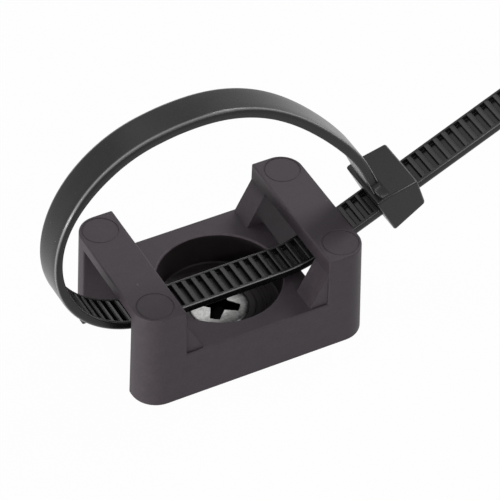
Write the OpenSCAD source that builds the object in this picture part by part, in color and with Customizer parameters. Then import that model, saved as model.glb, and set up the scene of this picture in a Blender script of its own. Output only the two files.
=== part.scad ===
// Saddle mount for cable ties, held down by one countersunk screw,
// with a ladder tie threaded through both saddles and closed in a loose loop.
// The base stands on z = 0 and the screw axis is the z axis; the tie runs along x.

/* [Mount] */
// Length of the foot, along the tie
mount_l = 23.9; // [22.7:0.1:27]
// Width of the foot, across the tie
mount_w = 16.1; // [15.2:0.1:19]
// Height to the top of the saddles
mount_h = 10.6; // [10:0.1:13]
// Height of the deck that the tie lies on
deck_h = 5.4; // [4.8:0.1:5.8]
// Length of the deck between the two saddles
deck_l = 14.8; // [14.2:0.2:15.6]
// Radius of the four upright corners
corner_r = 2.5; // [1.2:0.1:2.8]
// Moulding draft of the outer sides, in degrees
draft = 1.5; // [0.5:0.1:2]

/* [Saddles] */
// Clear width between the two legs of a saddle
window_w = 9.9; // [8:0.1:10.6]
// Thickness of a saddle bar on its inner side
bar_inner_t = 1.75; // [1.2:0.05:2]
// Thickness of a saddle bar on its outer side
bar_outer_t = 1.2; // [0.9:0.05:1.6]
// Length of a gusset along the deck
gusset_l = 1.85; // [0.8:0.05:2.2]
// Step from the side of the leg in to the face of the gusset
gusset_step = 0.25; // [0.1:0.05:0.6]
// Diameter of the ejector marks in the saddle tops
mark_d = 3.5; // [2:0.1:3.6]
// Depth of the ejector marks
mark_depth = 0.08; // [0.04:0.02:0.3]
// Distance from the end of a saddle top to its ejector mark
mark_edge = 0.3; // [0.2:0.05:1]

/* [Screw recess] */
// Diameter of the recess in the deck
recess_d = 12; // [9:0.1:12.4]
// Thickness left under the recess
floor_t = 1.8; // [1.7:0.05:2.4]
// Chamfer round the mouth of the recess
rim_chamfer = 0.3; // [0.1:0.05:0.5]

/* [Screw] */
// Diameter of the screw head
screw_head_d = 5.7; // [5:0.1:6.4]
// Diameter of the screw shank
screw_d = 3; // [2.5:0.1:3.2]
// Length of the screw, head included
screw_l = 10; // [8:0.5:20]
// Height of the straight edge of the head
head_edge = 0.2; // [0.1:0.05:0.3]
// Clearance between the screw and its hole
screw_gap = 0.1; // [0.05:0.05:0.3]
// Width of the cross recess, tip to tip
cross_w = 4.1; // [3:0.1:4.4]
// Width of one slot of the cross
cross_slot = 1; // [0.5:0.05:1.1]
// Depth of the cross recess
cross_depth = 1.1; // [0.6:0.05:1.3]
// Turn of the cross about the screw axis
cross_turn = 52; // [0:1:90]

/* [Tie strap] */
// Width of the strap
strap_w = 3.6; // [2.5:0.1:4.2]
// Thickness of the strap
strap_t = 1; // [0.9:0.05:1.3]
// Rounding of the two outer edges of the strap
shoulder_r = 0.4; // [0.1:0.05:0.45]
// Width of each rail beside the teeth
rail_w = 0.42; // [0.3:0.02:0.6]
// Distance from one tooth to the next
tooth_pitch = 1; // [0.9:0.05:1.3]
// Height of a tooth
tooth_h = 0.38; // [0.25:0.01:0.45]
// Length of the whole tie
tie_l = 120; // [112:1:160]
// Length of the tapered tip
tip_l = 8; // [4:0.5:10]

/* [Tie loop] */
// Radius of the lower half of the tight end of the loop, at mid strap
curl_low_r = 10; // [9:0.1:11.6]
// Radius of the upper half of the tight end of the loop, at mid strap
curl_high_r = 12.1; // [11.4:0.1:13]
// Radius of the wide side of the loop, at mid strap
crown_r = 21.4; // [19.5:0.1:24]
// Radius of the bend where the strap leaves the deck for the head, at mid strap
lift_r = 10.5; // [8:0.5:14]
// Slope of the strap where it passes through the head
lift_angle = 24.5; // [18:0.5:26]
// Distance in from the left end of the deck to where the strap bends up; it is less than 0 past the end
left_land = -0.4; // [-0.8:0.1:1]
// Distance in from the right end of the deck to where the strap bends up
right_land = 2.1; // [1.2:0.1:2.6]
// Turn of the loop about the upright axis
loop_turn = 0.5; // [-2:0.1:3]
// Sideways place of the strap in the saddles
loop_shift = -1.3; // [-1.6:0.05:1.6]

/* [Tie head] */
// Width of the head
tie_head_w = 5.8; // [5.4:0.1:7]
// Length of the head, along the strap that passes through it
tie_head_l = 3.6; // [3.2:0.1:5]
// Height of the head above the outer face of the passing strap
tie_head_up = 3.5; // [3.3:0.1:4]
// Height of the head below the outer face of the passing strap
tie_head_down = 1.25; // [1.1:0.05:2]
// Rounding of the long edges of the head
tie_head_r = 0.5; // [0.2:0.05:0.7]
// Height over which the root of the strap widens to the head
flare_h = 0.9; // [0.4:0.1:1.5]
// Clearance between the strap and the slot in the head
slot_gap = 0.12; // [0.08:0.02:0.2]

/* [Hidden] */
$fn = 64;
eps = 0.01;
through = 1;
// Each stretch of the strap runs on into the next, and every second one is finer by nest all round
lap = 0.12;
nest = 0.02;

// Mount
top_inset = mount_h * tan(draft);
top_half_l = mount_l / 2 - top_inset;
top_half_w = mount_w / 2 - top_inset;
deck_half_w = mount_w / 2 - deck_h * tan(draft);
deck_half_l = deck_l / 2;
saddle_l = top_half_l - deck_half_l;
leg_w = top_half_w - window_w / 2;
bar_under = mount_h - bar_inner_t;
bar_rise = (bar_inner_t - bar_outer_t) / saddle_l;
mark_x = top_half_l - mark_edge - mark_d / 2;
mark_y = top_half_w - mark_edge - mark_d / 2;

// Screw
head_r = screw_head_d / 2;
shank_r = screw_d / 2;
// The shank is plain and finer under its head, above the thread
neck_r = shank_r - 0.2;
cone_h = head_r - shank_r;
// Height at which the cone under the head would come to its point
cone_tip = floor_t - head_edge - head_r;
point_h = screw_d * 0.8;
cross_foot = 0.45;

// Strap path, worked out in the plane of the loop: x along it and y up
mid_z = deck_h + strap_t / 2;
curl_x = -(deck_half_l - left_land);
curl_z = mid_z + curl_low_r;
crown_x = curl_x - curl_low_r + curl_high_r;
crown_z = curl_z + curl_high_r - crown_r;
lift_x = deck_half_l - right_land;
lift_z = mid_z + lift_r;
tail_x = lift_x + lift_r * sin(lift_angle);
tail_z = lift_z - lift_r * cos(lift_angle);
crown_end_x = crown_x + crown_r * cos(lift_angle);
crown_end_z = crown_z + crown_r * sin(lift_angle);
// The root of the strap stands square on the tail: its foot is found along and off the tail
root_t = (crown_end_x - tail_x) * cos(lift_angle) + (crown_end_z - tail_z) * sin(lift_angle);
root_n = (crown_end_z - tail_z) * cos(lift_angle) - (crown_end_x - tail_x) * sin(lift_angle);
head_t = root_t - strap_t / 2;

function arc_length(r, angle) = r * angle * PI / 180;
// The teeth start part of the way round the tight end of the loop
ladder_from = 215;
ladder_arc = arc_length(curl_low_r, 270 - ladder_from);
flat_l = lift_x - curl_x;
lift_arc = arc_length(lift_r, lift_angle);
crown_arc = arc_length(crown_r, 90 - lift_angle);
curl_arc = arc_length(curl_low_r + curl_high_r, 90);
tail_l = tie_l - root_n - strap_t / 2 - tie_head_down - crown_arc - curl_arc - flat_l - lift_arc;
ladder_l = ladder_arc + flat_l + lift_arc + tail_l - tip_l;
tooth_count = floor(ladder_l / tooth_pitch);

// Place and heading of the strap at distance d from the start of the teeth: [x, z, heading]
function strap_at(d) =
    d < ladder_arc ? arc_at(curl_x, curl_z, curl_low_r, ladder_from + d / curl_low_r * 180 / PI)
    : d < ladder_arc + flat_l ? [curl_x + d - ladder_arc, mid_z, 0]
    : d < ladder_arc + flat_l + lift_arc
        ? arc_at(lift_x, lift_z, lift_r, 270 + (d - ladder_arc - flat_l) / lift_r * 180 / PI)
    : tail_at(d - ladder_arc - flat_l - lift_arc);
function arc_at(cx, cz, r, a) = [cx + r * cos(a), cz + r * sin(a), a + 90];
function tail_at(t) = [tail_x + t * cos(lift_angle), tail_z + t * sin(lift_angle), lift_angle];

// ---------------------------------------------------------------- mount

// Slice of the block between two drafted faces, as long as asked
module drafted_slice(foot_half, top_half, length) {
    rotate([90, 0, 0])
        linear_extrude(height = length, center = true)
            polygon([
                [-foot_half, 0],
                [foot_half, 0],
                [top_half, mount_h],
                [-top_half, mount_h]
            ]);
}

// Outer form: a block with rounded upright corners, narrower at the top by the draft
module drafted_block() {
    post_x = mount_l / 2 - corner_r;
    post_y = mount_w / 2 - corner_r;
    drafted_slice(mount_l / 2, top_half_l, 2 * post_y);
    rotate([0, 0, 90])
        drafted_slice(mount_w / 2, top_half_w, 2 * post_x);
    for (sx = [-1, 1], sy = [-1, 1])
        translate([sx * post_x, sy * post_y, 0])
            cylinder(r1 = corner_r, r2 = corner_r - top_inset, h = mount_h);
}

// Way for the tie under one saddle, open at the foot; the bar above it thins outwards
module saddle_window() {
    far_x = mount_l / 2 + through;
    rotate([90, 0, 0])
        linear_extrude(height = window_w, center = true)
            polygon([
                [deck_half_l, -through],
                [far_x, -through],
                [far_x, bar_under + (far_x - deck_half_l) * bar_rise],
                [deck_half_l, bar_under]
            ]);
}

// Triangular web between a leg and the deck
module gusset() {
    face_y = deck_half_w - gusset_step;
    web_t = face_y - window_w / 2;
    translate([0, face_y, 0])
        rotate([90, 0, 0])
            linear_extrude(height = web_t)
                polygon([
                    [deck_half_l - gusset_l, deck_h - eps],
                    [deck_half_l + leg_w / 2, deck_h - eps],
                    [deck_half_l + leg_w / 2, bar_under],
                    [deck_half_l, bar_under]
                ]);
}

module screw_recess() {
    translate([0, 0, floor_t])
        cylinder(d = recess_d, h = deck_h);
    translate([0, 0, deck_h - rim_chamfer])
        cylinder(d1 = recess_d, d2 = recess_d + 4 * rim_chamfer, h = 2 * rim_chamfer);
    // Countersunk hole
    translate([0, 0, -through])
        cylinder(r = shank_r + screw_gap, h = mount_h);
    translate([0, 0, cone_tip + shank_r + screw_gap])
        cylinder(r1 = shank_r + screw_gap, r2 = head_r + screw_gap, h = cone_h);
    translate([0, 0, cone_tip + head_r + screw_gap - eps])
        cylinder(r = head_r + screw_gap, h = deck_h);
}

module saddle_mount() {
    color([0.29, 0.265, 0.275])
    difference() {
        union() {
            difference() {
                drafted_block();
                // Space over the deck, between the saddles
                translate([-deck_half_l, -mount_w, deck_h])
                    cube([deck_l, 2 * mount_w, mount_h]);
                for (turn = [0, 180])
                    rotate([0, 0, turn])
                        saddle_window();
            }
            for (sx = [0, 1], sy = [0, 1])
                mirror([sx, 0, 0])
                    mirror([0, sy, 0])
                        gusset();
        }
        screw_recess();
        for (sx = [-1, 1], sy = [-1, 1])
            translate([sx * mark_x, sy * mark_y, mount_h - mark_depth])
                cylinder(d = mark_d, h = through);
    }
}

// ---------------------------------------------------------------- tie

// Section of the strap: x points to its outer face and y runs across it
module strap_outline(inset = 0) {
    half_t = strap_t / 2 - inset;
    half_w = strap_w / 2 - inset;
    translate([-half_t, -half_w])
        square([2 * half_t - shoulder_r, 2 * half_w]);
    translate([-half_t, shoulder_r - half_w])
        square([2 * half_t, 2 * half_w - 2 * shoulder_r]);
    for (side = [-1, 1])
        translate([half_t - shoulder_r, side * (half_w - shoulder_r)])
            circle(r = shoulder_r, $fn = 32);
}

// The same section with the trough between the rails, where the teeth stand
module ladder_outline(inset = 0) {
    trough_w = strap_w - 2 * rail_w + 2 * inset;
    difference() {
        strap_outline(inset);
        translate([-strap_t / 2 - through, -trough_w / 2])
            square([tooth_h + inset + through, trough_w]);
    }
}

// Stretch of the strap round a centre, from angle a0 to a1
module strap_arc(cx, cz, r, a0, a1) {
    lap_angle = lap / r * 180 / PI;
    translate([cx, 0, cz])
        rotate([90, 0, 0])
            rotate([0, 0, a0])
                rotate_extrude(angle = a1 - a0 + lap_angle, $fn = 128)
                    translate([r, 0])
                        children();
}

// Straight stretch of the strap from a point, in the direction of its heading
module strap_run(x, z, heading, length) {
    translate([x, 0, z])
        rotate([0, -heading, 0])
            rotate([90, 0, 90])
                linear_extrude(height = length + lap)
                    rotate(-90)
                        children();
}

// One tooth: steep towards the head end of the strap and sloping towards the tip
module tooth() {
    crest = strap_t / 2 - 2 * nest;
    foot = strap_t / 2 - tooth_h;
    root = tooth_h / 4;
    rotate([90, 0, 0])
        linear_extrude(height = strap_w - 2 * rail_w + 5 * nest, center = true)
            polygon([
                [0, foot - root],
                [0, foot],
                [tooth_pitch * 0.14, crest],
                [tooth_pitch * 0.3, crest],
                [tooth_pitch * 0.8, foot],
                [tooth_pitch * 0.8, foot - root]
            ]);
}

module teeth() {
    for (i = [0 : tooth_count - 1]) {
        place = strap_at(i * tooth_pitch);
        translate([place[0], 0, place[1]])
            rotate([0, -place[2], 0])
                tooth();
    }
}

// Outline that narrows the last of the strap to a rounded tip, seen from above
module tip_outline() {
    tip_w = strap_w * 0.55;
    polygon([
        [-through, -strap_w],
        [tail_l - tip_l, -strap_w],
        [tail_l - tip_l, -strap_w / 2],
        [tail_l - tip_w / 4, -tip_w / 2],
        [tail_l, -tip_w / 4],
        [tail_l, tip_w / 4],
        [tail_l - tip_w / 4, tip_w / 2],
        [tail_l - tip_l, strap_w / 2],
        [tail_l - tip_l, strap_w],
        [-through, strap_w]
    ]);
}

module tail() {
    intersection() {
        union() {
            strap_run(tail_x, tail_z, lift_angle, tail_l - tip_l)
                ladder_outline();
            tip = tail_at(tail_l - tip_l);
            strap_run(tip[0], tip[1], lift_angle, tip_l)
                strap_outline(nest);
        }
        translate([tail_x, 0, tail_z])
            rotate([0, -lift_angle, 0])
                linear_extrude(height = 4 * strap_t, center = true)
                    tip_outline();
    }
}

// The head in its own frame: x along the passing strap, z off its outer face
module tie_head() {
    face_up = tie_head_up - 0.75;
    face_down = tie_head_down - 0.75;
    slot_w = strap_w + 2 * slot_gap;
    cavity_w = strap_w - 2 * rail_w;
    cavity_top = tie_head_up - 1.15;
    wall_t = strap_t + 0.1;
    difference() {
        intersection() {
            rotate([90, 0, 0])
                linear_extrude(height = tie_head_w, center = true)
                    polygon([
                        [0, -tie_head_down],
                        [tie_head_l - 0.3, -face_down - 0.1],
                        [tie_head_l, 0.1 - face_down],
                        [tie_head_l, face_up - 0.3],
                        [tie_head_l - 0.35, face_up],
                        [strap_t + 0.2, tie_head_up - 0.1],
                        [strap_t - 0.1, tie_head_up],
                        [0, tie_head_up]
                    ]);
            head_across();
        }
        // Slot for the strap, and the space for the pawl over its teeth
        translate([-through, -slot_w / 2, -slot_gap])
            cube([tie_head_l + 2 * through, slot_w, strap_t + 2 * slot_gap]);
        translate([wall_t, -cavity_w / 2, 0])
            cube([tie_head_l, cavity_w, cavity_top]);
    }
    // Pawl: hangs from the top wall with its tip just clear of the teeth
    rotate([90, 0, 0])
        linear_extrude(height = cavity_w - 2 * slot_gap, center = true)
            polygon([
                [wall_t - 0.1, cavity_top + 0.1],
                [wall_t + 0.7, cavity_top + 0.1],
                [tie_head_l - 0.3, strap_t + 0.35],
                [tie_head_l - 0.5, strap_t + slot_gap],
                [wall_t + 1, strap_t + slot_gap],
                [wall_t - 0.1, cavity_top - 0.6]
            ]);
}

// The root of the strap widens to the width of the head
module root_flare() {
    flare_foot = tie_head_up - 2 * tie_head_r;
    flare_top = tie_head_up + flare_h;
    translate([2 * nest, 0, 0])
        rotate([90, 0, 90])
            linear_extrude(height = strap_t - 4 * nest)
                polygon([
                    [nest - tie_head_w / 2, flare_foot],
                    [tie_head_w / 2 - nest, flare_foot],
                    [strap_w / 2, flare_top],
                    [-strap_w / 2, flare_top]
                ]);
}

// The head seen along the passing strap: a block with rounded edges
module head_across() {
    half_w = tie_head_w / 2 - tie_head_r;
    rotate([90, 0, 90])
        linear_extrude(height = tie_head_l) {
            translate([-tie_head_w / 2, tie_head_r - tie_head_down])
                square([tie_head_w, tie_head_up + tie_head_down - 2 * tie_head_r]);
            translate([-half_w, -tie_head_down])
                square([2 * half_w, tie_head_up + tie_head_down]);
            for (side = [-1, 1], z = [tie_head_r - tie_head_down, tie_head_up - tie_head_r])
                translate([side * half_w, z])
                    circle(r = tie_head_r, $fn = 32);
        }
}

module cable_tie() {
    color([0.16, 0.16, 0.165])
    translate([0, loop_shift, 0])
        rotate([0, 0, loop_turn]) {
            // Loop, from the head round to the deck
            strap_arc(crown_x, crown_z, crown_r, lift_angle, 90)
                strap_outline();
            strap_arc(crown_x, curl_z, curl_high_r, 90, 180)
                strap_outline(nest);
            strap_arc(curl_x, curl_z, curl_low_r, 180, ladder_from)
                strap_outline();
            strap_arc(curl_x, curl_z, curl_low_r, ladder_from, 270)
                ladder_outline(nest);
            strap_run(curl_x, mid_z, 0, flat_l)
                ladder_outline();
            strap_arc(lift_x, lift_z, lift_r, 270, 270 + lift_angle)
                ladder_outline(nest);
            teeth();
            tail();
            // Root of the strap, and the head on its outer side
            head_at = tail_at(head_t);
            translate([head_at[0], 0, head_at[1]])
                rotate([0, -lift_angle, 0]) {
                    translate([0, 0, -strap_t / 2]) {
                        tie_head();
                        root_flare();
                    }
                    strap_run(strap_t / 2, tie_head_up - strap_t, 90, root_n - tie_head_up + strap_t)
                        strap_outline(nest);
                }
        }
}

// ---------------------------------------------------------------- screw

// One slot of the cross, narrower at its foot
module cross_arm() {
    rotate([90, 0, 0])
        linear_extrude(height = cross_slot, center = true)
            polygon([
                [-cross_w / 2, floor_t + eps],
                [-cross_w / 2, floor_t - cross_depth / 3],
                [-cross_w / 2 * cross_foot, floor_t - cross_depth],
                [cross_w / 2 * cross_foot, floor_t - cross_depth],
                [cross_w / 2, floor_t - cross_depth / 3],
                [cross_w / 2, floor_t + eps]
            ]);
}

module mounting_screw() {
    color([0.55, 0.56, 0.55])
    difference() {
        rotate_extrude()
            polygon([
                [0, floor_t],
                [head_r, floor_t],
                [head_r, floor_t - head_edge],
                [neck_r, cone_tip + neck_r],
                [neck_r, 0],
                [shank_r, 0],
                [shank_r, floor_t - screw_l + point_h],
                [0, floor_t - screw_l]
            ]);
        for (arm = [0, 90])
            rotate([0, 0, cross_turn + arm])
                cross_arm();
    }
}

saddle_mount();
cable_tie();
mounting_screw();
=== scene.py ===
import bpy, bmesh, math
from mathutils import Matrix, Vector


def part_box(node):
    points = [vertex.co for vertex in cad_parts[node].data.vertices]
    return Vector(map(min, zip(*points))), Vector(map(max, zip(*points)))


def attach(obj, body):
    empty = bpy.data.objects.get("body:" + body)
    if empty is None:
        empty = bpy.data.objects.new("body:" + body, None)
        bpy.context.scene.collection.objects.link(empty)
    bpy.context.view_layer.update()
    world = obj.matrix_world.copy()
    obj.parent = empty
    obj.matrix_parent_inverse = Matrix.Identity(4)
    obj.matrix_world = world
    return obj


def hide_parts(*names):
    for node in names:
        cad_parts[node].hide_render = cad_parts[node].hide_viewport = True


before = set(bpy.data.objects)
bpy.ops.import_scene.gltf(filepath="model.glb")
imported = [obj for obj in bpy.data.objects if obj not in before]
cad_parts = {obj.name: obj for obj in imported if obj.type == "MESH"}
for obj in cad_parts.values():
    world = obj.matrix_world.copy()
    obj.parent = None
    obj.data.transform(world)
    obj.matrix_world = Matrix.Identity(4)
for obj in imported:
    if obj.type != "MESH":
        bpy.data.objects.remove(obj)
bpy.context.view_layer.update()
scene = bpy.context.scene

# ---------------------------------------------------------------- camera
# A long lens from the front left, well above the mount, aimed a little to the
# right of the mount and above it so that the loop and the tail fit in.
MM = 0.001
azimuth, elevation, roll = math.radians(-28.213), math.radians(43.158), math.radians(1.163)
lens_mm, sensor_mm, distance, pivot_z = 229.53384, 36.0, 0.3, 5.2
aim_right, aim_up = math.radians(0.5525832), math.radians(0.515006)


def placed(name, data):
    """Sets a mesh, a lamp or a camera into the scene."""
    piece = bpy.data.objects.new(name, data)
    scene.collection.objects.link(piece)
    return piece


back = Vector((
    math.sin(azimuth) * math.cos(elevation),
    -math.cos(azimuth) * math.cos(elevation),
    math.sin(elevation),
))
level = Vector((math.cos(azimuth), math.sin(azimuth), 0.0))
rise = back.cross(level)
across = level * math.cos(roll) + rise * math.sin(roll)
upright = rise * math.cos(roll) - level * math.sin(roll)
forward = (across * math.tan(aim_right) + upright * math.tan(aim_up) - back).normalized()
across = forward.cross(upright).normalized()
upright = across.cross(forward)
camera_data = bpy.data.cameras.new("studio_camera")
camera_data.sensor_width = sensor_mm
camera_data.lens = lens_mm
camera_data.clip_start, camera_data.clip_end = 0.01, 10.0
camera = placed("studio_camera", camera_data)
turn = Matrix((across, upright, -forward)).transposed().to_4x4()
camera.matrix_world = Matrix.Translation(Vector((0, 0, pivot_z * MM)) + back * distance) @ turn
scene.camera = camera

# ---------------------------------------------------------------- floor, world and lights
# A wide sweep of pale paper under the mount and a dim surround, both white to the
# lens and in reflections. Soft boxes stand above and at each side, a strip in front.
scene.view_settings.view_transform = "Standard"
sweep, below, paper_grey, surround = 3.0, -0.02 * MM, 0.62, 0.11
floor_mesh = bpy.data.meshes.new("studio_floor")
corners = [(x * sweep, y * sweep, below) for x, y in ((-1, -1), (1, -1), (1, 1), (-1, 1))]
floor_mesh.from_pydata(corners, [], [(0, 1, 2, 3)])
placed("studio_floor", floor_mesh)
paper = bpy.data.materials.new("white_paper")
paper.use_nodes = True
floor_mesh.materials.append(paper)
world = bpy.data.worlds.new("studio_world")
world.use_nodes = True
scene.world = world


def reckoned(tree, operation, *terms):
    """Math node on sockets and plain numbers. Returns its result."""
    node = tree.nodes.new("ShaderNodeMath")
    node.operation = operation
    for socket, term in zip(node.inputs, terms):
        if isinstance(term, float):
            socket.default_value = term
        else:
            tree.links.new(term, socket)
    return node.outputs[0]


def white_to_the_lens(tree, output_kind, plain, white, share):
    """Shows the white shader to the camera and to reflections, and the plain one to everything else."""
    seen = tree.nodes.new("ShaderNodeLightPath")
    ray = seen.outputs["Is Camera Ray"]
    for kind in ("Is Glossy Ray", "Is Transmission Ray"):
        ray = reckoned(tree, "MAXIMUM", ray, seen.outputs[kind])
    blend = tree.nodes.new("ShaderNodeMixShader")
    out = tree.nodes.new(output_kind)
    tree.links.new(reckoned(tree, "MULTIPLY", ray, share), blend.inputs["Fac"])
    tree.links.new(plain.outputs[0], blend.inputs[1])
    tree.links.new(white.outputs[0], blend.inputs[2])
    tree.links.new(blend.outputs[0], out.inputs["Surface"])


tree = paper.node_tree
tree.nodes.clear()
matt = tree.nodes.new("ShaderNodeBsdfDiffuse")
matt.inputs["Color"].default_value = (paper_grey, paper_grey, paper_grey, 1)
glow = tree.nodes.new("ShaderNodeEmission")
glow.inputs["Color"].default_value = (1, 1, 1, 1)
white_to_the_lens(tree, "ShaderNodeOutputMaterial", matt, glow, 0.98)

tree = world.node_tree
tree.nodes.clear()
sky = tree.nodes.new("ShaderNodeBackground")
sky.inputs["Color"].default_value = (1, 1, 1, 1)
sky.inputs["Strength"].default_value = surround
white = tree.nodes.new("ShaderNodeBackground")
white.inputs["Color"].default_value = (1, 1, 1, 1)
white_to_the_lens(tree, "ShaderNodeOutputWorld", sky, white, 1.0)

lit_at = Vector((0, 0, 8 * MM))
for name, place, size, watts in (
    ("box_above", (-0.10, 0.16, 0.42), (0.40, 0.30), 0.20),
    ("box_top", (0.23, 0.10, 0.31), (0.12, 0.08), 0.62),
    ("box_left", (-0.42, -0.10, 0.022), (0.30, 0.025), 1.60),
    ("box_right", (0.40, 0.10, 0.22), (0.24, 0.24), 0.15),
    ("strip_front", (0.03, -0.38, 0.32), (0.70, 0.05), 0.75),
):
    light = bpy.data.lights.new(name, "AREA")
    light.shape = "RECTANGLE"
    light.size, light.size_y = size
    light.energy = watts
    lamp = placed(name, light)
    lamp.location = place
    lamp.rotation_euler = (lit_at - Vector(place)).to_track_quat("-Z", "Y").to_euler()

# ---------------------------------------------------------------- saddle mount
# One moulding in matt aubergine-grey nylon: a drafted foot with a screw recess and
# a saddle at each end. Its edges are just broken, and the ejector pins left a ring
# at each end of the saddle tops.
mount_low, mount_high = (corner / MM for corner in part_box("saddle_mount"))
mount_l, mount_w, mount_h = mount_high - mount_low
deck_h, deck_half_l, corner_r, edge_r = 5.4, 7.4, 2.5, 0.16
window_half_w, bar_inner_t, bar_outer_t = 4.95, 1.75, 1.2
draft = math.tan(math.radians(1.5))
top_inset = mount_h * draft
post_x, post_y = mount_l / 2 - corner_r, mount_w / 2 - corner_r
past, well_past = 1.0, 20.0


def surface_grain():
    """Shader group: fine grain, broad patches and sparse specks, on object coordinates."""
    group = bpy.data.node_groups.new("surface_grain", "ShaderNodeTree")
    for name, value in (("Grain Scale", 5000.0), ("Patch Scale", 400.0), ("Speck Scale", 900.0)):
        socket = group.interface.new_socket(name, in_out="INPUT", socket_type="NodeSocketFloat")
        socket.default_value = value
    for name in ("Grain", "Patches", "Specks"):
        group.interface.new_socket(name, in_out="OUTPUT", socket_type="NodeSocketFloat")
    entry = group.nodes.new("NodeGroupInput")
    leave = group.nodes.new("NodeGroupOutput")
    place = group.nodes.new("ShaderNodeTexCoord")
    for name, scale, detail in (("Grain", "Grain Scale", 3.0), ("Patches", "Patch Scale", 4.0)):
        noise = group.nodes.new("ShaderNodeTexNoise")
        noise.inputs["Detail"].default_value = detail
        noise.inputs["Roughness"].default_value = 0.6
        group.links.new(place.outputs["Object"], noise.inputs["Vector"])
        group.links.new(entry.outputs[scale], noise.inputs["Scale"])
        group.links.new(noise.outputs["Fac"], leave.inputs[name])
    dots = group.nodes.new("ShaderNodeTexVoronoi")
    group.links.new(place.outputs["Object"], dots.inputs["Vector"])
    group.links.new(entry.outputs["Speck Scale"], dots.inputs["Scale"])
    near = group.nodes.new("ShaderNodeMapRange")
    near.inputs["From Min"].default_value = 0.10
    near.inputs["From Max"].default_value = 0.03
    group.links.new(dots.outputs["Distance"], near.inputs["Value"])
    split = group.nodes.new("ShaderNodeSeparateColor")
    group.links.new(dots.outputs["Color"], split.inputs["Color"])
    rare = reckoned(group, "GREATER_THAN", split.outputs["Red"], 0.93)
    specks = reckoned(group, "MULTIPLY", near.outputs["Result"], rare)
    group.links.new(specks, leave.inputs["Specks"])
    return group


grain_group = surface_grain()


def grained_material(
    name, dark, light, speck, roughness, spread, scales, bump, depth, specular=0.5, metallic=0.0
):
    """Principled material with colour, roughness and bump driven by the grain group."""
    material = bpy.data.materials.new(name)
    material.use_nodes = True
    tree = material.node_tree
    shader = tree.nodes["Principled BSDF"]
    shader.inputs["Specular IOR Level"].default_value = specular
    shader.inputs["Metallic"].default_value = metallic
    grain = tree.nodes.new("ShaderNodeGroup")
    grain.node_tree = grain_group
    for socket, scale in zip(("Grain Scale", "Patch Scale", "Speck Scale"), scales):
        grain.inputs[socket].default_value = scale
    tint = tree.nodes.new("ShaderNodeValToRGB")
    for element, position, colour in zip(tint.color_ramp.elements, (0.36, 0.64), (dark, light)):
        element.position = position
        element.color = (*colour, 1)
    mean = tree.nodes.new("ShaderNodeMix")
    mean.inputs["Factor"].default_value = 0.45
    spotted = tree.nodes.new("ShaderNodeMix")
    spotted.data_type = "RGBA"
    spotted.inputs["B"].default_value = (*speck, 1)
    rough = tree.nodes.new("ShaderNodeMapRange")
    rough.inputs["From Min"].default_value = 0.3
    rough.inputs["From Max"].default_value = 0.7
    rough.inputs["To Min"].default_value = roughness - spread
    rough.inputs["To Max"].default_value = roughness + spread
    dent = tree.nodes.new("ShaderNodeBump")
    dent.inputs["Strength"].default_value = bump
    dent.inputs["Distance"].default_value = depth * MM
    tree.links.new(grain.outputs["Grain"], mean.inputs["A"])
    tree.links.new(grain.outputs["Patches"], mean.inputs["B"])
    tree.links.new(mean.outputs["Result"], tint.inputs["Fac"])
    tree.links.new(tint.outputs["Color"], spotted.inputs["A"])
    tree.links.new(grain.outputs["Specks"], spotted.inputs["Factor"])
    tree.links.new(spotted.outputs["Result"], shader.inputs["Base Color"])
    tree.links.new(mean.outputs["Result"], rough.inputs["Value"])
    tree.links.new(rough.outputs["Result"], shader.inputs["Roughness"])
    tree.links.new(grain.outputs["Grain"], dent.inputs["Height"])
    tree.links.new(dent.outputs["Normal"], shader.inputs["Normal"])
    return material


def hollow_mask():
    """Shader group: 1 inside an upright hollow that narrows downwards by Taper, below Top."""
    group = bpy.data.node_groups.new("hollow_mask", "ShaderNodeTree")
    for name in ("Radius", "Top", "Taper"):
        group.interface.new_socket(name, in_out="INPUT", socket_type="NodeSocketFloat")
    group.interface.new_socket("Inside", in_out="OUTPUT", socket_type="NodeSocketFloat")
    entry = group.nodes.new("NodeGroupInput")
    leave = group.nodes.new("NodeGroupOutput")
    place = group.nodes.new("ShaderNodeTexCoord")
    parts = group.nodes.new("ShaderNodeSeparateXYZ")
    flat = group.nodes.new("ShaderNodeCombineXYZ")
    radius = group.nodes.new("ShaderNodeVectorMath")
    radius.operation = "LENGTH"
    group.links.new(place.outputs["Object"], parts.inputs[0])
    group.links.new(parts.outputs["X"], flat.inputs["X"])
    group.links.new(parts.outputs["Y"], flat.inputs["Y"])
    group.links.new(flat.outputs[0], radius.inputs[0])
    depth = reckoned(group, "SUBTRACT", entry.outputs["Top"], parts.outputs["Z"])
    reach = reckoned(group, "MULTIPLY_ADD", depth, entry.outputs["Taper"], radius.outputs["Value"])
    within = reckoned(group, "LESS_THAN", reach, entry.outputs["Radius"])
    under = reckoned(group, "GREATER_THAN", depth, 0.0)
    group.links.new(reckoned(group, "MULTIPLY", within, under), leave.inputs["Inside"])
    return group


hollow_group = hollow_mask()


def over_colour(material, colour, blend):
    """Puts a mix with one colour over a material's own. Returns the socket for how much of it."""
    tree = material.node_tree
    base = tree.nodes["Principled BSDF"].inputs["Base Color"]
    mix = tree.nodes.new("ShaderNodeMix")
    mix.data_type = "RGBA"
    mix.blend_type = blend
    mix.inputs["B"].default_value = (*colour, 1)
    tree.links.new(base.links[0].from_socket, mix.inputs["A"])
    tree.links.new(mix.outputs["Result"], base)
    return mix.inputs["Factor"]


def tinted_inside(material, radius, top, taper, colour):
    """Multiplies a material's colour inside an upright hollow."""
    inside = material.node_tree.nodes.new("ShaderNodeGroup")
    inside.node_tree = hollow_group
    inside.inputs["Radius"].default_value = radius * MM
    inside.inputs["Top"].default_value = top * MM
    inside.inputs["Taper"].default_value = taper
    material.node_tree.links.new(inside.outputs["Inside"], over_colour(material, colour, "MULTIPLY"))


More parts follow.
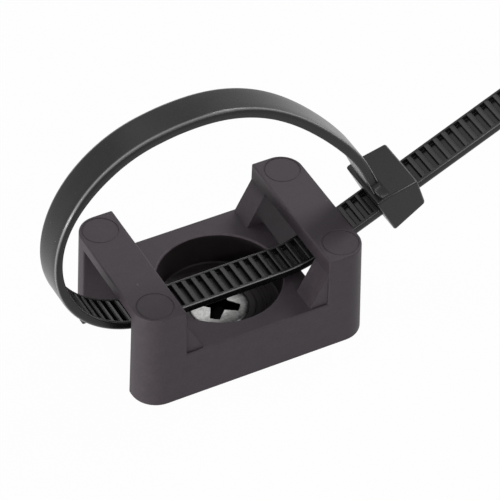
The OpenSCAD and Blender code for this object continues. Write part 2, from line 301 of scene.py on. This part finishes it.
def lofted(name, rings, painted_highlight=None):
    """Closed mesh through rings with equal numbers of points, capped at both ends.
    The optional last argument, called with (row, column), sets how strongly a highlight is painted pale onto
    each point."""
    built = bmesh.new()
    highlight_layer = built.verts.layers.float.new("painted_highlight") if painted_highlight else None
    rows = [[built.verts.new(point) for point in ring] for ring in rings]
    if painted_highlight:
        for i, row in enumerate(rows):
            for j, vertex in enumerate(row):
                vertex[highlight_layer] = painted_highlight(i, j)
    for lower, upper in zip(rows, rows[1:]):
        for i in range(len(lower)):
            j = (i + 1) % len(lower)
            built.faces.new((lower[i], lower[j], upper[j], upper[i]))
    built.faces.new(list(reversed(rows[0])))
    built.faces.new(rows[-1])
    bmesh.ops.remove_doubles(built, verts=built.verts, dist=1e-5)
    bmesh.ops.recalc_face_normals(built, faces=built.faces)
    mesh = bpy.data.meshes.new(name)
    built.to_mesh(mesh)
    built.free()
    return mesh


def slab(name, outline, start, end, painted_highlight=None):
    """Prism across the mount, from start to end in y, of an outline of (x, z) pairs."""
    return lofted(name, [[Vector((x, depth, z)) for x, z in outline] for depth in (start, end)], painted_highlight)


def turned(name, profile, steps, centre=(0, 0)):
    """Solid of revolution about an upright axis from a profile of (radius, height) pairs."""
    rings = []
    for radius, height in profile:
        ring = []
        for k in range(steps):
            angle = 2 * math.pi * k / steps
            x, y = centre[0] + radius * math.cos(angle), centre[1] + radius * math.sin(angle)
            ring.append(Vector((x, y, height)))
        rings.append(ring)
    return lofted(name, rings)


def settled(piece):
    """Turns a piece's modifiers into its mesh."""
    graph = bpy.context.evaluated_depsgraph_get()
    piece.data = bpy.data.meshes.new_from_object(piece.evaluated_get(graph))
    piece.modifiers.clear()


def carved(piece, tool_mesh, operation="DIFFERENCE"):
    """Cuts a mesh out of a piece, or joins it on."""
    tool = placed("tool", tool_mesh)
    change = piece.modifiers.new("carve", "BOOLEAN")
    change.operation = operation
    change.object = tool
    change.solver = "EXACT"
    bpy.context.view_layer.update()
    settled(piece)
    bpy.data.objects.remove(tool)


def softened(piece, width, steps):
    """Joins a piece's flat faces up and rounds every edge sharper than 30 degrees."""
    built = bmesh.new()
    built.from_mesh(piece.data)
    bmesh.ops.dissolve_limit(built, angle_limit=math.radians(0.5), verts=built.verts, edges=built.edges)
    built.to_mesh(piece.data)
    built.free()
    bevel = piece.modifiers.new("soft", "BEVEL")
    bevel.width = width
    bevel.segments = steps
    bevel.limit_method = "ANGLE"
    bevel.angle_limit = math.radians(30)
    bpy.context.view_layer.update()
    settled(piece)


def dressed(piece, material, angle=35.0):
    """Scales a piece from millimetres, shades it and hands it to the frame."""
    piece.data.transform(Matrix.Scale(MM, 4))
    piece.data.materials.clear()
    piece.data.materials.append(material)
    piece.data.shade_smooth()
    piece.data.set_sharp_from_angle(angle=math.radians(angle))
    even = piece.modifiers.new("even", "WEIGHTED_NORMAL")
    even.keep_sharp = True
    bpy.context.view_layer.update()
    settled(piece)
    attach(piece, "root")


def footprint(radius, height, corner_steps=12):
    """Ring of the foot's plan, with rounded corners about its four posts."""
    ring = []
    for quarter, (side_x, side_y) in enumerate(((1, 1), (-1, 1), (-1, -1), (1, -1))):
        for step in range(corner_steps + 1):
            angle = math.radians(90 * quarter + 90 / corner_steps * step)
            x, y = side_x * post_x + radius * math.cos(angle), side_y * post_y + radius * math.sin(angle)
            ring.append(Vector((x, y, height)))
    return ring


block = lofted("block", [footprint(corner_r, 0.0), footprint(corner_r - top_inset, mount_h)])
mount = placed("saddle_mount_moulding", block)
# The open bed between the saddles, and a window under each bar, which thins outwards
bed = [(-deck_half_l, deck_h), (deck_half_l, deck_h), (deck_half_l, well_past), (-deck_half_l, well_past)]
carved(mount, slab("bed", bed, -well_past, well_past))
far_x, bar_under = mount_l / 2 + past, mount_h - bar_inner_t
bar_rise = (bar_inner_t - bar_outer_t) / (mount_l / 2 - top_inset - deck_half_l)
far_under = bar_under + (far_x - deck_half_l) * bar_rise
for side in (-1, 1):
    window = [(deck_half_l, -past), (far_x, -past), (far_x, far_under), (deck_half_l, bar_under)]
    window = [(side * x, z) for x, z in window]
    carved(mount, slab("window", window, -window_half_w, window_half_w))
softened(mount, edge_r, steps=3)
# Triangular webs between the legs and the deck
web_over_deck, web_in_window, web_step, web_edge, web_sunk, web_lap = 1.85, 1.41, 0.25, 0.05, 0.05, 0.004
web_face = mount_w / 2 - deck_h * draft - web_step
web_from, web_to, web_low = deck_half_l - web_over_deck, deck_half_l + web_in_window, deck_h - web_sunk
for side_x in (-1, 1):
    for side_y in (-1, 1):
        web = [(web_from, web_low), (web_to, web_low), (web_to, bar_under), (deck_half_l, bar_under)]
        web = [(side_x * x, z) for x, z in web]
        piece = placed("web", slab("web", web, side_y * (window_half_w - web_lap), side_y * web_face))
        softened(piece, web_edge, steps=2)
        carved(mount, piece.data, "UNION")
        bpy.data.objects.remove(piece)
# Screw recess with fine turned rings on its floor, and the countersunk hole
recess_r, floor_t, rim, fillet = 6.0, 1.8, 0.14, 0.2
hole_r, seat_r, seat_z, lip_w, lip_h = 1.6, 2.95, 0.35, 0.05, 0.03
recess = [(0, -past), (hole_r, -past), (hole_r, seat_z), (seat_r, seat_z + seat_r - hole_r)]
recess += [(seat_r, floor_t - lip_h), (seat_r + lip_w, floor_t)]
ring_half_w, ring_flat, ring_depth = 0.07, 0.02, 0.06
for ring_r in (3.6, 4.25, 4.6, 5.1):
    recess.append((ring_r - ring_half_w, floor_t))
    recess.append((ring_r - ring_flat, floor_t - ring_depth))
    recess.append((ring_r + ring_flat, floor_t - ring_depth))
    recess.append((ring_r + ring_half_w, floor_t))
for step in range(5):
    angle = math.radians(22.5 * step)
    recess.append((recess_r - fillet + fillet * math.sin(angle), floor_t + fillet - fillet * math.cos(angle)))
rim_ease, rim_lead, brim_r, brim_h, over_deck = 0.02, 0.03, recess_r + rim + 0.04, 0.005, 8.0
recess += [(recess_r, deck_h - rim - rim_lead), (recess_r + rim_ease, deck_h - rim)]
recess += [(recess_r + rim, deck_h - rim_ease), (brim_r, deck_h + brim_h)]
recess += [(brim_r, over_deck), (0, over_deck)]
carved(mount, turned("recess", recess, steps=128))
# Ejector marks: a ring cut into the saddle's top round a disc that stands a little lower
mark_r, mark_margin, mark_groove, mark_flat = 1.75, 0.3, 0.08, 0.03
groove_from, groove_low, groove_high, groove_to = mark_r - 0.13, mark_r - 0.06, mark_r - 0.02, mark_r + 0.04
mark = [(0, mount_h - mark_flat), (groove_from, mount_h - mark_flat)]
mark += [(groove_low, mount_h - mark_groove), (groove_high, mount_h - mark_groove)]
over_saddle, groove_proud = mount_h + 2, 0.01
mark += [(groove_to, mount_h + groove_proud), (groove_to, over_saddle), (0, over_saddle)]
mark_in = mark_margin + mark_r
mark_x, mark_y = mount_l / 2 - top_inset - mark_in, mount_w / 2 - top_inset - mark_in
for side_x in (-1, 1):
    for side_y in (-1, 1):
        carved(mount, turned("mark", mark, steps=64, centre=(side_x * mark_x, side_y * mark_y)))
mount_nylon = grained_material(
    "mount_nylon",
    dark=(0.034, 0.0262, 0.0322),
    light=(0.053, 0.0415, 0.0505),
    speck=(0.16, 0.14, 0.16),
    roughness=0.56,
    spread=0.07,
    scales=(5200.0, 900.0, 620.0),
    bump=0.45,
    depth=0.02,
    specular=0.32,
)
# Painted highlight and shade: the rim of the recess is painted pale as a highlight, and the recess itself is
# painted darker as shade
tint_margin, straight = 0.03, 0.0
tinted_inside(mount_nylon, recess_r + rim + tint_margin, deck_h + 0.01, straight, (1.8, 1.8, 1.8))
tinted_inside(mount_nylon, recess_r + tint_margin, deck_h - rim - rim_ease, straight, (0.20, 0.19, 0.17))
dressed(mount, mount_nylon)
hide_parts("saddle_mount")

# ---------------------------------------------------------------- mounting screw
# A countersunk self-tapping screw in dull plated steel, pressed with a cross
# recess: its low dome stands just over the floor of the recess.
screw_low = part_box("mounting_screw")[0] / MM
head_r, head_edge, neck_r, shank_r, core_r = 2.85, 0.2, 1.3, 1.5, 1.15
neck_step, point_h, cross_turn, arm_bow = 0.25, 2.4, 52, 0.06
cone_tip = floor_t - head_edge - head_r
dome = [(0, 0.14), (0.9, 0.125), (1.7, 0.08), (2.35, 0.01)]
dome += [(head_r - 0.2, -0.04), (head_r - 0.05, -0.09), (head_r, -0.15), (head_r, -head_edge)]
profile = [(radius, floor_t + rise) for radius, rise in dome]
profile += [(neck_r, cone_tip + neck_r), (neck_r, 0.0), (core_r, -neck_step)]
profile += [(core_r, screw_low.z + point_h), (0.0, screw_low.z)]
screw = placed("screw_body", turned("screw", profile, steps=96))


def cross_ring(tip, half_slot, inner, height):
    """Ring of the cross at a height over the recess's floor, with four arms that reach out to tip."""
    ring = []
    for arm in range(4):
        angle = math.radians(cross_turn + 90 * arm)
        cos, sin = math.cos(angle), math.sin(angle)
        for x, y in ((tip, -half_slot), (tip + arm_bow, 0.0), (tip, half_slot), (inner, inner)):
            ring.append(Vector((x * cos - y * sin, x * sin + y * cos, floor_t + height)))
    return ring


cross = [cross_ring(0.90, 0.30, 0.40, -1.1), cross_ring(1.93, 0.46, 0.62, -0.35)]
cross.append(cross_ring(2.05, 0.50, 0.70, 0.3))
carved(screw, lofted("cross", cross))
screw_steel = grained_material(
    "screw_steel",
    dark=(0.30, 0.30, 0.295),
    light=(0.56, 0.56, 0.55),
    speck=(0.9, 0.9, 0.88),
    roughness=0.42,
    spread=0.10,
    scales=(4200.0, 2200.0, 1100.0),
    bump=0.6,
    depth=0.02,
    metallic=1.0,
)
# Painted shade: the inside of the cross is painted black
black_r, black_top, black_taper = 2.22, floor_t - 0.02, 0.8
tinted_inside(screw_steel, black_r, black_top, black_taper, (0.002, 0.002, 0.002))
dressed(screw, screw_steel)
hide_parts("mounting_screw")
# The thread is rolled round the core from just under the panel's face to near the point
thread_pitch, thread_top, thread_short, per_turn = 1.05, -0.5, 0.5, 24
crest_half, flank_below, flank_above, run_in, rooted = 0.02, 0.22, 0.16, 0.1, 0.06
turns = (thread_top - screw_low.z - thread_short) / thread_pitch
thread = []
for k in range(int(turns * per_turn) + 1):
    angle, height = 2 * math.pi * k / per_turn, thread_top - thread_pitch * k / per_turn
    to_point = (height - screw_low.z) / point_h
    core = core_r * min(1.0, to_point)
    crest = core + (shank_r - core_r) * min(1.0, run_in + k / per_turn) * min(1.0, to_point + run_in)
    rib = [(core - rooted, height - flank_below), (crest, height - crest_half)]
    rib += [(crest, height + crest_half), (core - rooted, height + flank_above)]
    thread.append([Vector((radius * math.cos(angle), -radius * math.sin(angle), z)) for radius, z in rib])
screw_thread = placed("screw_thread", lofted("screw_thread", thread))
dressed(screw_thread, screw_steel)

# ---------------------------------------------------------------- cable tie: strap
# One strap of satin black nylon, moulded with its head: smooth outside with rounded
# shoulders, and a trough between two rails inside for the teeth. It is swept along
# the loop from the head round to the tapered tip.
strap_w, strap_t, tooth_h, pitch = 3.6, 1.0, 0.38, 1.0
shoulder_r, rail_edge, groove_w, trough_h = 0.42, 0.16, 0.32, 0.50
wall_ease, rail_ease, rail_turn, trough_cove = 0.02, 0.08, 0.025, 0.05
slim, slim_l = 0.30, 18.0
tie_l, tip_l, tip_w, tip_round = 120.0, 8.0, 2.0, 0.6
head_up, head_down = 3.5, 1.25
tie_y, tie_turn = -1.3, math.radians(0.5)
place_tie = Matrix.Translation((0, tie_y, 0)) @ Matrix.Rotation(tie_turn, 4, "Z")
# The loop: a crown over the top, a high and a low curl at its far end, flat over the
# deck, then a lift to the slope on which the head and the tail lie
mid_z, slope = deck_h + strap_t / 2, math.radians(24.5)
curl_low_r, curl_high_r, crown_r, lift_r = 10.0, 12.1, 21.4, 10.5
curl_out, lift_in = 0.4, 2.1
curl_x, lift_x = -(deck_half_l + curl_out), deck_half_l - lift_in
curl_z, lift_z = mid_z + curl_low_r, mid_z + lift_r
crown_x, crown_z = curl_x - curl_low_r + curl_high_r, curl_z + curl_high_r - crown_r
tail_x, tail_z = lift_x + lift_r * math.sin(slope), lift_z - lift_r * math.cos(slope)
end_x, end_z = crown_x + crown_r * math.cos(slope), crown_z + crown_r * math.sin(slope)
# Where the crown's end stands from the start of the tail, along its slope and square to it
root_t = (end_x - tail_x) * math.cos(slope) + (end_z - tail_z) * math.sin(slope)
root_n = (end_z - tail_z) * math.cos(slope) - (end_x - tail_x) * math.sin(slope)


def on_arc(distance, x, z, radius, start):
    """Point and heading at a distance along an arc about (x, z) from a start angle."""
    angle = start + distance / radius
    return x + radius * math.cos(angle), z + radius * math.sin(angle), angle + math.pi / 2


def on_line(distance, x, z, heading):
    """Point and heading at a distance along a straight from (x, z)."""
    return x + distance * math.cos(heading), z + distance * math.sin(heading), heading


# The root starts inside the head and stands square on the tail
root_sunk = 0.7
root_l = root_n + strap_t / 2 - head_up + root_sunk
root_x, root_z = end_x + root_l * math.sin(slope), end_z - root_l * math.cos(slope)
crown_l = crown_r * (math.pi / 2 - slope)
stretches = [
    (root_l, on_line, (root_x, root_z, slope + math.pi / 2)),
    (crown_l, on_arc, (crown_x, crown_z, crown_r, slope)),
    (curl_high_r * math.pi / 2, on_arc, (crown_x, curl_z, curl_high_r, math.pi / 2)),
    (curl_low_r * math.pi / 2, on_arc, (curl_x, curl_z, curl_low_r, math.pi)),
    (lift_x - curl_x, on_line, (curl_x, mid_z, 2 * math.pi)),
    (lift_r * slope, on_arc, (lift_x, lift_z, lift_r, 1.5 * math.pi)),
]
ends = [sum(stretch[0] for stretch in stretches[:k]) for k in range(len(stretches) + 1)]
loop_l = ends[6]
tail_l = tie_l - (loop_l - root_l + root_n + strap_t / 2 + head_down)
stretches.append((tail_l, on_line, (tail_x, tail_z, slope)))
strap_l = loop_l + tail_l
ladder_from = ends[3] + curl_low_r * math.radians(35)
ladder_to = ladder_from + pitch * int((strap_l - tip_l - ladder_from) / pitch)
spring_l, spring_swing, spring_lean = crown_l + 2.5, 40.0, 16.6


def strap_at(distance):
    """Middle of the strap and its heading, at a distance along it from the head."""
    left = distance
    for length, place, where in stretches:
        x, z, heading = place(left, *where)
        if left < length:
            break
        left -= length
    # The crown springs a little off its arc: in where it leaves the head, and out over the top
    part = (distance - root_l) / spring_l
    if 0 < part < 1:
        spring = (part * (1 - part)) ** 2 * (spring_swing * part - spring_lean)
        x += math.sin(heading) * spring
        z -= math.cos(heading) * spring
    return x, z, heading


def strap_ring(distance):
    """Section of the strap at a distance along it: y across it, and n towards its outer face."""
    x, z, heading = strap_at(distance)
    left = strap_l - distance
    half, half_t = strap_w / 2, strap_t / 2
    if left < tip_l:
        half = tip_w / 2 + (strap_w - tip_w) / 2 * left / tip_l
    if left < tip_round:
        half -= tip_round - math.sqrt(max(0.0, tip_round ** 2 - (tip_round - left) ** 2))
    depth = trough_h if ladder_from < distance < ladder_to else 0.0
    # The strap thins a little before its ladder starts, where it bends most
    part = (distance - ladder_from + slim_l) / slim_l
    low_n = -half_t + (slim * math.sin(math.pi * part) ** 2 if 0 < part < 1 else 0.0)
    inner, floor_n = half - groove_w, low_n + depth
    side = [(0.0, floor_n), (inner * 0.5, floor_n), (inner - wall_ease, floor_n)]
    side += [(inner, floor_n - trough_cove * depth), (inner, low_n + min(depth, rail_ease))]
    side += [(inner + wall_ease, low_n + min(depth, rail_turn)), (inner + rail_ease, low_n)]
    for k in range(5):
        angle = math.radians(90 / 4 * k)
        side.append((half - rail_edge * (1 - math.sin(angle)), low_n + rail_edge * (1 - math.cos(angle))))
    side.append((half, 0.0))
    for k in range(8):
        angle = math.radians(90 / 7 * k)
        y = half - shoulder_r + shoulder_r * math.cos(angle)
        side.append((y, half_t - shoulder_r + shoulder_r * math.sin(angle)))
    side.append(((half - shoulder_r) * 0.5, half_t))
    ring = side + [(0.0, half_t)] + [(-y, n) for y, n in reversed(side[1:])]
    out_x, out_z = math.sin(heading), -math.cos(heading)
    return [place_tie @ Vector((x + out_x * n, y, z + out_z * n)) for y, n in ring]


# Sections at every step, closer where the ladder begins and ends and round the tip
section_step, ladder_end = 0.3, 0.02
cuts = [k * section_step for k in range(int(strap_l / section_step) + 1)]
cuts += [ladder_from - 0.001, ladder_from + ladder_end, ladder_to - ladder_end, ladder_to + 0.001]
cuts += [strap_l - tip_round * (1 - math.cos(math.radians(15 * k))) for k in range(7)]
cuts.sort()
# Points 7-11 of a section go round the rail's outer edge and 13-20 round the shoulder
ring_size = len(strap_ring(0.0))
# Painted highlight levels for rail-edge and shoulder points; the rails' levels are full over the stretch
# below and dim elsewhere
rail_highlights, shoulder_highlights = {8: 0.3, 9: 1.6}, {17: 0.4, 18: 0.95, 19: 0.2}
highlight_from, highlight_to, highlight_dim = ends[4] - 3, ends[5] + 2, 0.35


def strap_highlights(row, column):
    """Painted highlights: the shoulders all along, and the rails most of all along the flat through the
    mount.
    """
    column = min(column, ring_size - column)
    level = 1.0 if highlight_from < cuts[row] < highlight_to else highlight_dim
    return max(rail_highlights.get(column, 0.0) * level, shoulder_highlights.get(column, 0.0))


strap = placed("tie_strap", lofted("tie_strap", [strap_ring(cut) for cut in cuts], strap_highlights))
tie_nylon = grained_material(
    "tie_nylon",
    dark=(0.0045, 0.0045, 0.0048),
    light=(0.0085, 0.0085, 0.0088),
    speck=(0.03, 0.03, 0.03),
    roughness=0.27,
    spread=0.04,
    scales=(4200.0, 500.0, 420.0),
    bump=0.06,
    depth=0.01,
    specular=0.32,
)
# Painted highlights: the points' highlight attribute mixes the edges towards pale grey
highlight_paint = tie_nylon.node_tree.nodes.new("ShaderNodeAttribute")
highlight_paint.attribute_name = "painted_highlight"
tie_nylon.node_tree.links.new(highlight_paint.outputs["Fac"], over_colour(tie_nylon, (0.30, 0.30, 0.30), "MIX"))
dressed(strap, tie_nylon, angle=28.0)
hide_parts("cable_tie")

# ---------------------------------------------------------------- cable tie: teeth
# A ladder of sawtooth rungs, moulded in one with the trough's floor: steep towards
# the head and sloping towards the tip, with their crests just broken.
tooth_lap, tooth_crease, path_step = 0.01, 50.0, 0.1
tooth_half_w = strap_w / 2 - groove_w + tooth_lap
# A tooth from the side: up its face, over the crest and down its slope, x along the strap
tooth_side = [(0.02, -0.16), (0.03, 0.05), (0.07, 0.28), (0.10, 0.335), (0.16, 0.365)]
tooth_side += [(0.50, 0.33), (0.56, 0.30), (0.60, 0.23), (0.62, 0.02), (0.62, -0.16)]
# Painted highlight levels for the crest points of the tooth's outline
crest_highlight_levels = {3: 0.10, 4: 0.13, 5: 0.01, 6: 0.07}


def crest_highlights(row, column):
    """Painted highlights on the two broken edges of a tooth's crest."""
    return crest_highlight_levels.get(column, 0.0)


tooth = bpy.data.objects.new("tooth", slab("tooth", tooth_side, -tooth_half_w, tooth_half_w, crest_highlights))
tooth.data.shade_smooth()
tooth.data.set_sharp_from_angle(angle=math.radians(tooth_crease))


def ladder_tree():
    """Geometry tree that sets a tooth at every pitch along a path in the loop's plane."""
    group = bpy.data.node_groups.new("ladder", "GeometryNodeTree")
    face = group.interface
    face.new_socket("Path", in_out="INPUT", socket_type="NodeSocketGeometry")
    face.new_socket("Tooth", in_out="INPUT", socket_type="NodeSocketObject")
    face.new_socket("Pitch", in_out="INPUT", socket_type="NodeSocketFloat").default_value = 1.0
    face.new_socket("Material", in_out="INPUT", socket_type="NodeSocketMaterial")
    face.new_socket("Teeth", in_out="OUTPUT", socket_type="NodeSocketGeometry")
    entry = group.nodes.new("NodeGroupInput")
    leave = group.nodes.new("NodeGroupOutput")
    curve = group.nodes.new("GeometryNodeMeshToCurve")
    spaced = group.nodes.new("GeometryNodeResampleCurve")
    spaced.mode = "LENGTH"
    heading = group.nodes.new("GeometryNodeInputTangent")
    facing = group.nodes.new("FunctionNodeAxesToRotation")
    facing.primary_axis = "X"
    facing.secondary_axis = "Y"
    facing.inputs["Secondary Axis"].default_value = (0, 1, 0)
    shape = group.nodes.new("GeometryNodeObjectInfo")
    rungs = group.nodes.new("GeometryNodeInstanceOnPoints")
    real = group.nodes.new("GeometryNodeRealizeInstances")
    finish = group.nodes.new("GeometryNodeSetMaterial")
    group.links.new(entry.outputs["Path"], curve.inputs["Mesh"])
    group.links.new(curve.outputs["Curve"], spaced.inputs["Curve"])
    group.links.new(entry.outputs["Pitch"], spaced.inputs["Length"])
    group.links.new(heading.outputs["Tangent"], facing.inputs["Primary Axis"])
    group.links.new(entry.outputs["Tooth"], shape.inputs["Object"])
    group.links.new(spaced.outputs["Curve"], rungs.inputs["Points"])
    group.links.new(shape.outputs["Geometry"], rungs.inputs["Instance"])
    group.links.new(facing.outputs["Rotation"], rungs.inputs["Rotation"])
    group.links.new(rungs.outputs["Instances"], real.inputs["Geometry"])
    group.links.new(real.outputs["Geometry"], finish.inputs["Geometry"])
    group.links.new(entry.outputs["Material"], finish.inputs["Material"])
    group.links.new(finish.outputs["Geometry"], leave.inputs["Teeth"])
    return group


def on_trough(distance):
    """Point a tooth's height under the tops of the rails, on the line that the teeth follow."""
    x, z, heading = strap_at(distance)
    down = strap_t / 2 - tooth_h
    return x - math.sin(heading) * down, 0.0, z + math.cos(heading) * down


path_count = int((ladder_to - ladder_from - pitch) / path_step) + 1
path = bpy.data.meshes.new("ladder_path")
path_points = [on_trough(ladder_from + k * path_step) for k in range(path_count)]
path.from_pydata(path_points, [(k, k + 1) for k in range(path_count - 1)], [])
teeth = placed("tie_teeth", path)
ladder = teeth.modifiers.new("ladder", "NODES")
tree = ladder_tree()
named = {item.name: item.identifier for item in tree.interface.items_tree if item.in_out == "INPUT"}
ladder.node_group = tree
ladder[named["Tooth"]] = tooth
ladder[named["Pitch"]] = pitch
ladder[named["Material"]] = tie_nylon
bpy.context.view_layer.update()
settled(teeth)
teeth.data.transform(place_tie)
bpy.data.objects.remove(tooth)
dressed(teeth, tie_nylon, angle=tooth_crease)

# ---------------------------------------------------------------- cable tie: head
# A boxy head with rounded edges, slotted for the strap, with the pawl hanging over
# its teeth. The root of the strap flares out into its loop side.
head_l, head_w, head_edge_r, slot_gap, clear = 4.05, 6.1, 0.26, 0.12, 1.0
lean_low, lean_high, brow_x, brow_drop, face_drop = 0.10, 0.38, strap_t + 0.2, 0.10, 0.68
head_at = root_t - strap_t / 2
head_x, head_z = tail_x + head_at * math.cos(slope), tail_z + head_at * math.sin(slope)
place_head = place_tie @ Matrix.Translation((head_x, 0, head_z)) @ Matrix.Rotation(-slope, 4, "Y")
place_head = place_head @ Matrix.Translation((0, 0, -strap_t / 2))
head_outline = [(-lean_low, -head_down), (head_l - 0.5, -head_down + 0.63), (head_l - 0.3, -head_down + 0.78)]
head_outline += [(head_l, head_up - face_drop), (brow_x, head_up - brow_drop)]
head_outline += [(strap_t, head_up - 0.06), (-lean_high, head_up - 0.06)]
tie_head = placed("tie_head", slab("tie_head", head_outline, -head_w / 2, head_w / 2))
softened(tie_head, head_edge_r, steps=4)
# The flare, from the width of the head where it leaves it down to the strap's
flare_h, flare_sunk, flare_steps, flare_side, flare_edge = 1.0, 0.3, 10, 0.15, 0.12
flare_out, flare_in, flare_lap, flare_hem = 0.40, 0.30, 0.02, 0.015
flare = []
for k in range(flare_steps + 1):
    part = k / flare_steps
    half = strap_w / 2 + (head_w - strap_w - 2 * flare_side) / 2 * (1 - part) ** 2 * (1 + 2 * part)
    height = head_up - flare_sunk + (flare_h + flare_sunk) * part
    outer = strap_t - flare_lap + flare_out * (1 - part) ** 2.5
    inner = flare_hem + flare_in * (1 - part)
    side = [(outer, half - flare_edge), (outer - flare_edge, half)]
    side += [(inner + flare_edge, half), (inner, half - flare_edge)]
    ring = [(x, -y) for x, y in reversed(side)] + side
    flare.append([Vector((x, y, height)) for x, y in ring])


def flare_highlight(row, column):
    """Painted highlight on a band of the flare's outer face, just over the head."""
    return 0.45 if row in (3, 4) and column in (3, 4) else 0.0


carved(tie_head, lofted("flare", flare, flare_highlight), "UNION")
# The slot lets the strap through, and the cavity over it takes the pawl
far, slot_top, slot_half_w = head_l + clear, strap_t + slot_gap, strap_w / 2 + slot_gap
slot = [(-clear, -slot_gap), (far, -slot_gap), (far, slot_top), (-clear, slot_top)]
carved(tie_head, slab("slot", slot, -slot_half_w, slot_half_w))
cavity_x, cavity_low, cavity_top, cavity_half_w = 1.1, 0.5, head_up - 1.15, strap_w / 2 - 0.42
cavity = [(cavity_x, cavity_low), (far, cavity_low), (far, cavity_top), (cavity_x, cavity_top)]
carved(tie_head, slab("cavity", cavity, -cavity_half_w, cavity_half_w))
pawl = [(1.0, cavity_top + 0.1), (1.8, cavity_top + 0.1), (head_l - 0.3, strap_t + 0.35)]
pawl += [(head_l - 0.5, slot_top), (2.1, slot_top), (1.0, cavity_top - 0.6)]
pawl_half_w = cavity_half_w - slot_gap
carved(tie_head, slab("pawl", pawl, -pawl_half_w, pawl_half_w), "UNION")
# Painted highlights on the rounded top edges too, at both sides and at the tail's end
head_highlight = tie_head.data.attributes["painted_highlight"]
edge_near, edge_highlight, flare_reach = 0.13, 0.55, 0.3
for index, vertex in enumerate(tie_head.data.vertices):
    x, y, z = vertex.co
    top_z = head_up - brow_drop - (face_drop - brow_drop) * (x - brow_x) / (head_l - brow_x)
    from_top, from_side, from_end = top_z - z, head_w / 2 - abs(y), head_l - x
    if x > strap_t + flare_reach and from_top < edge_near and min(from_side, from_end) < edge_near:
        head_highlight.data[index].value = edge_highlight * x / head_l
tie_head.data.transform(place_head)
dressed(tie_head, tie_nylon, angle=32.0)
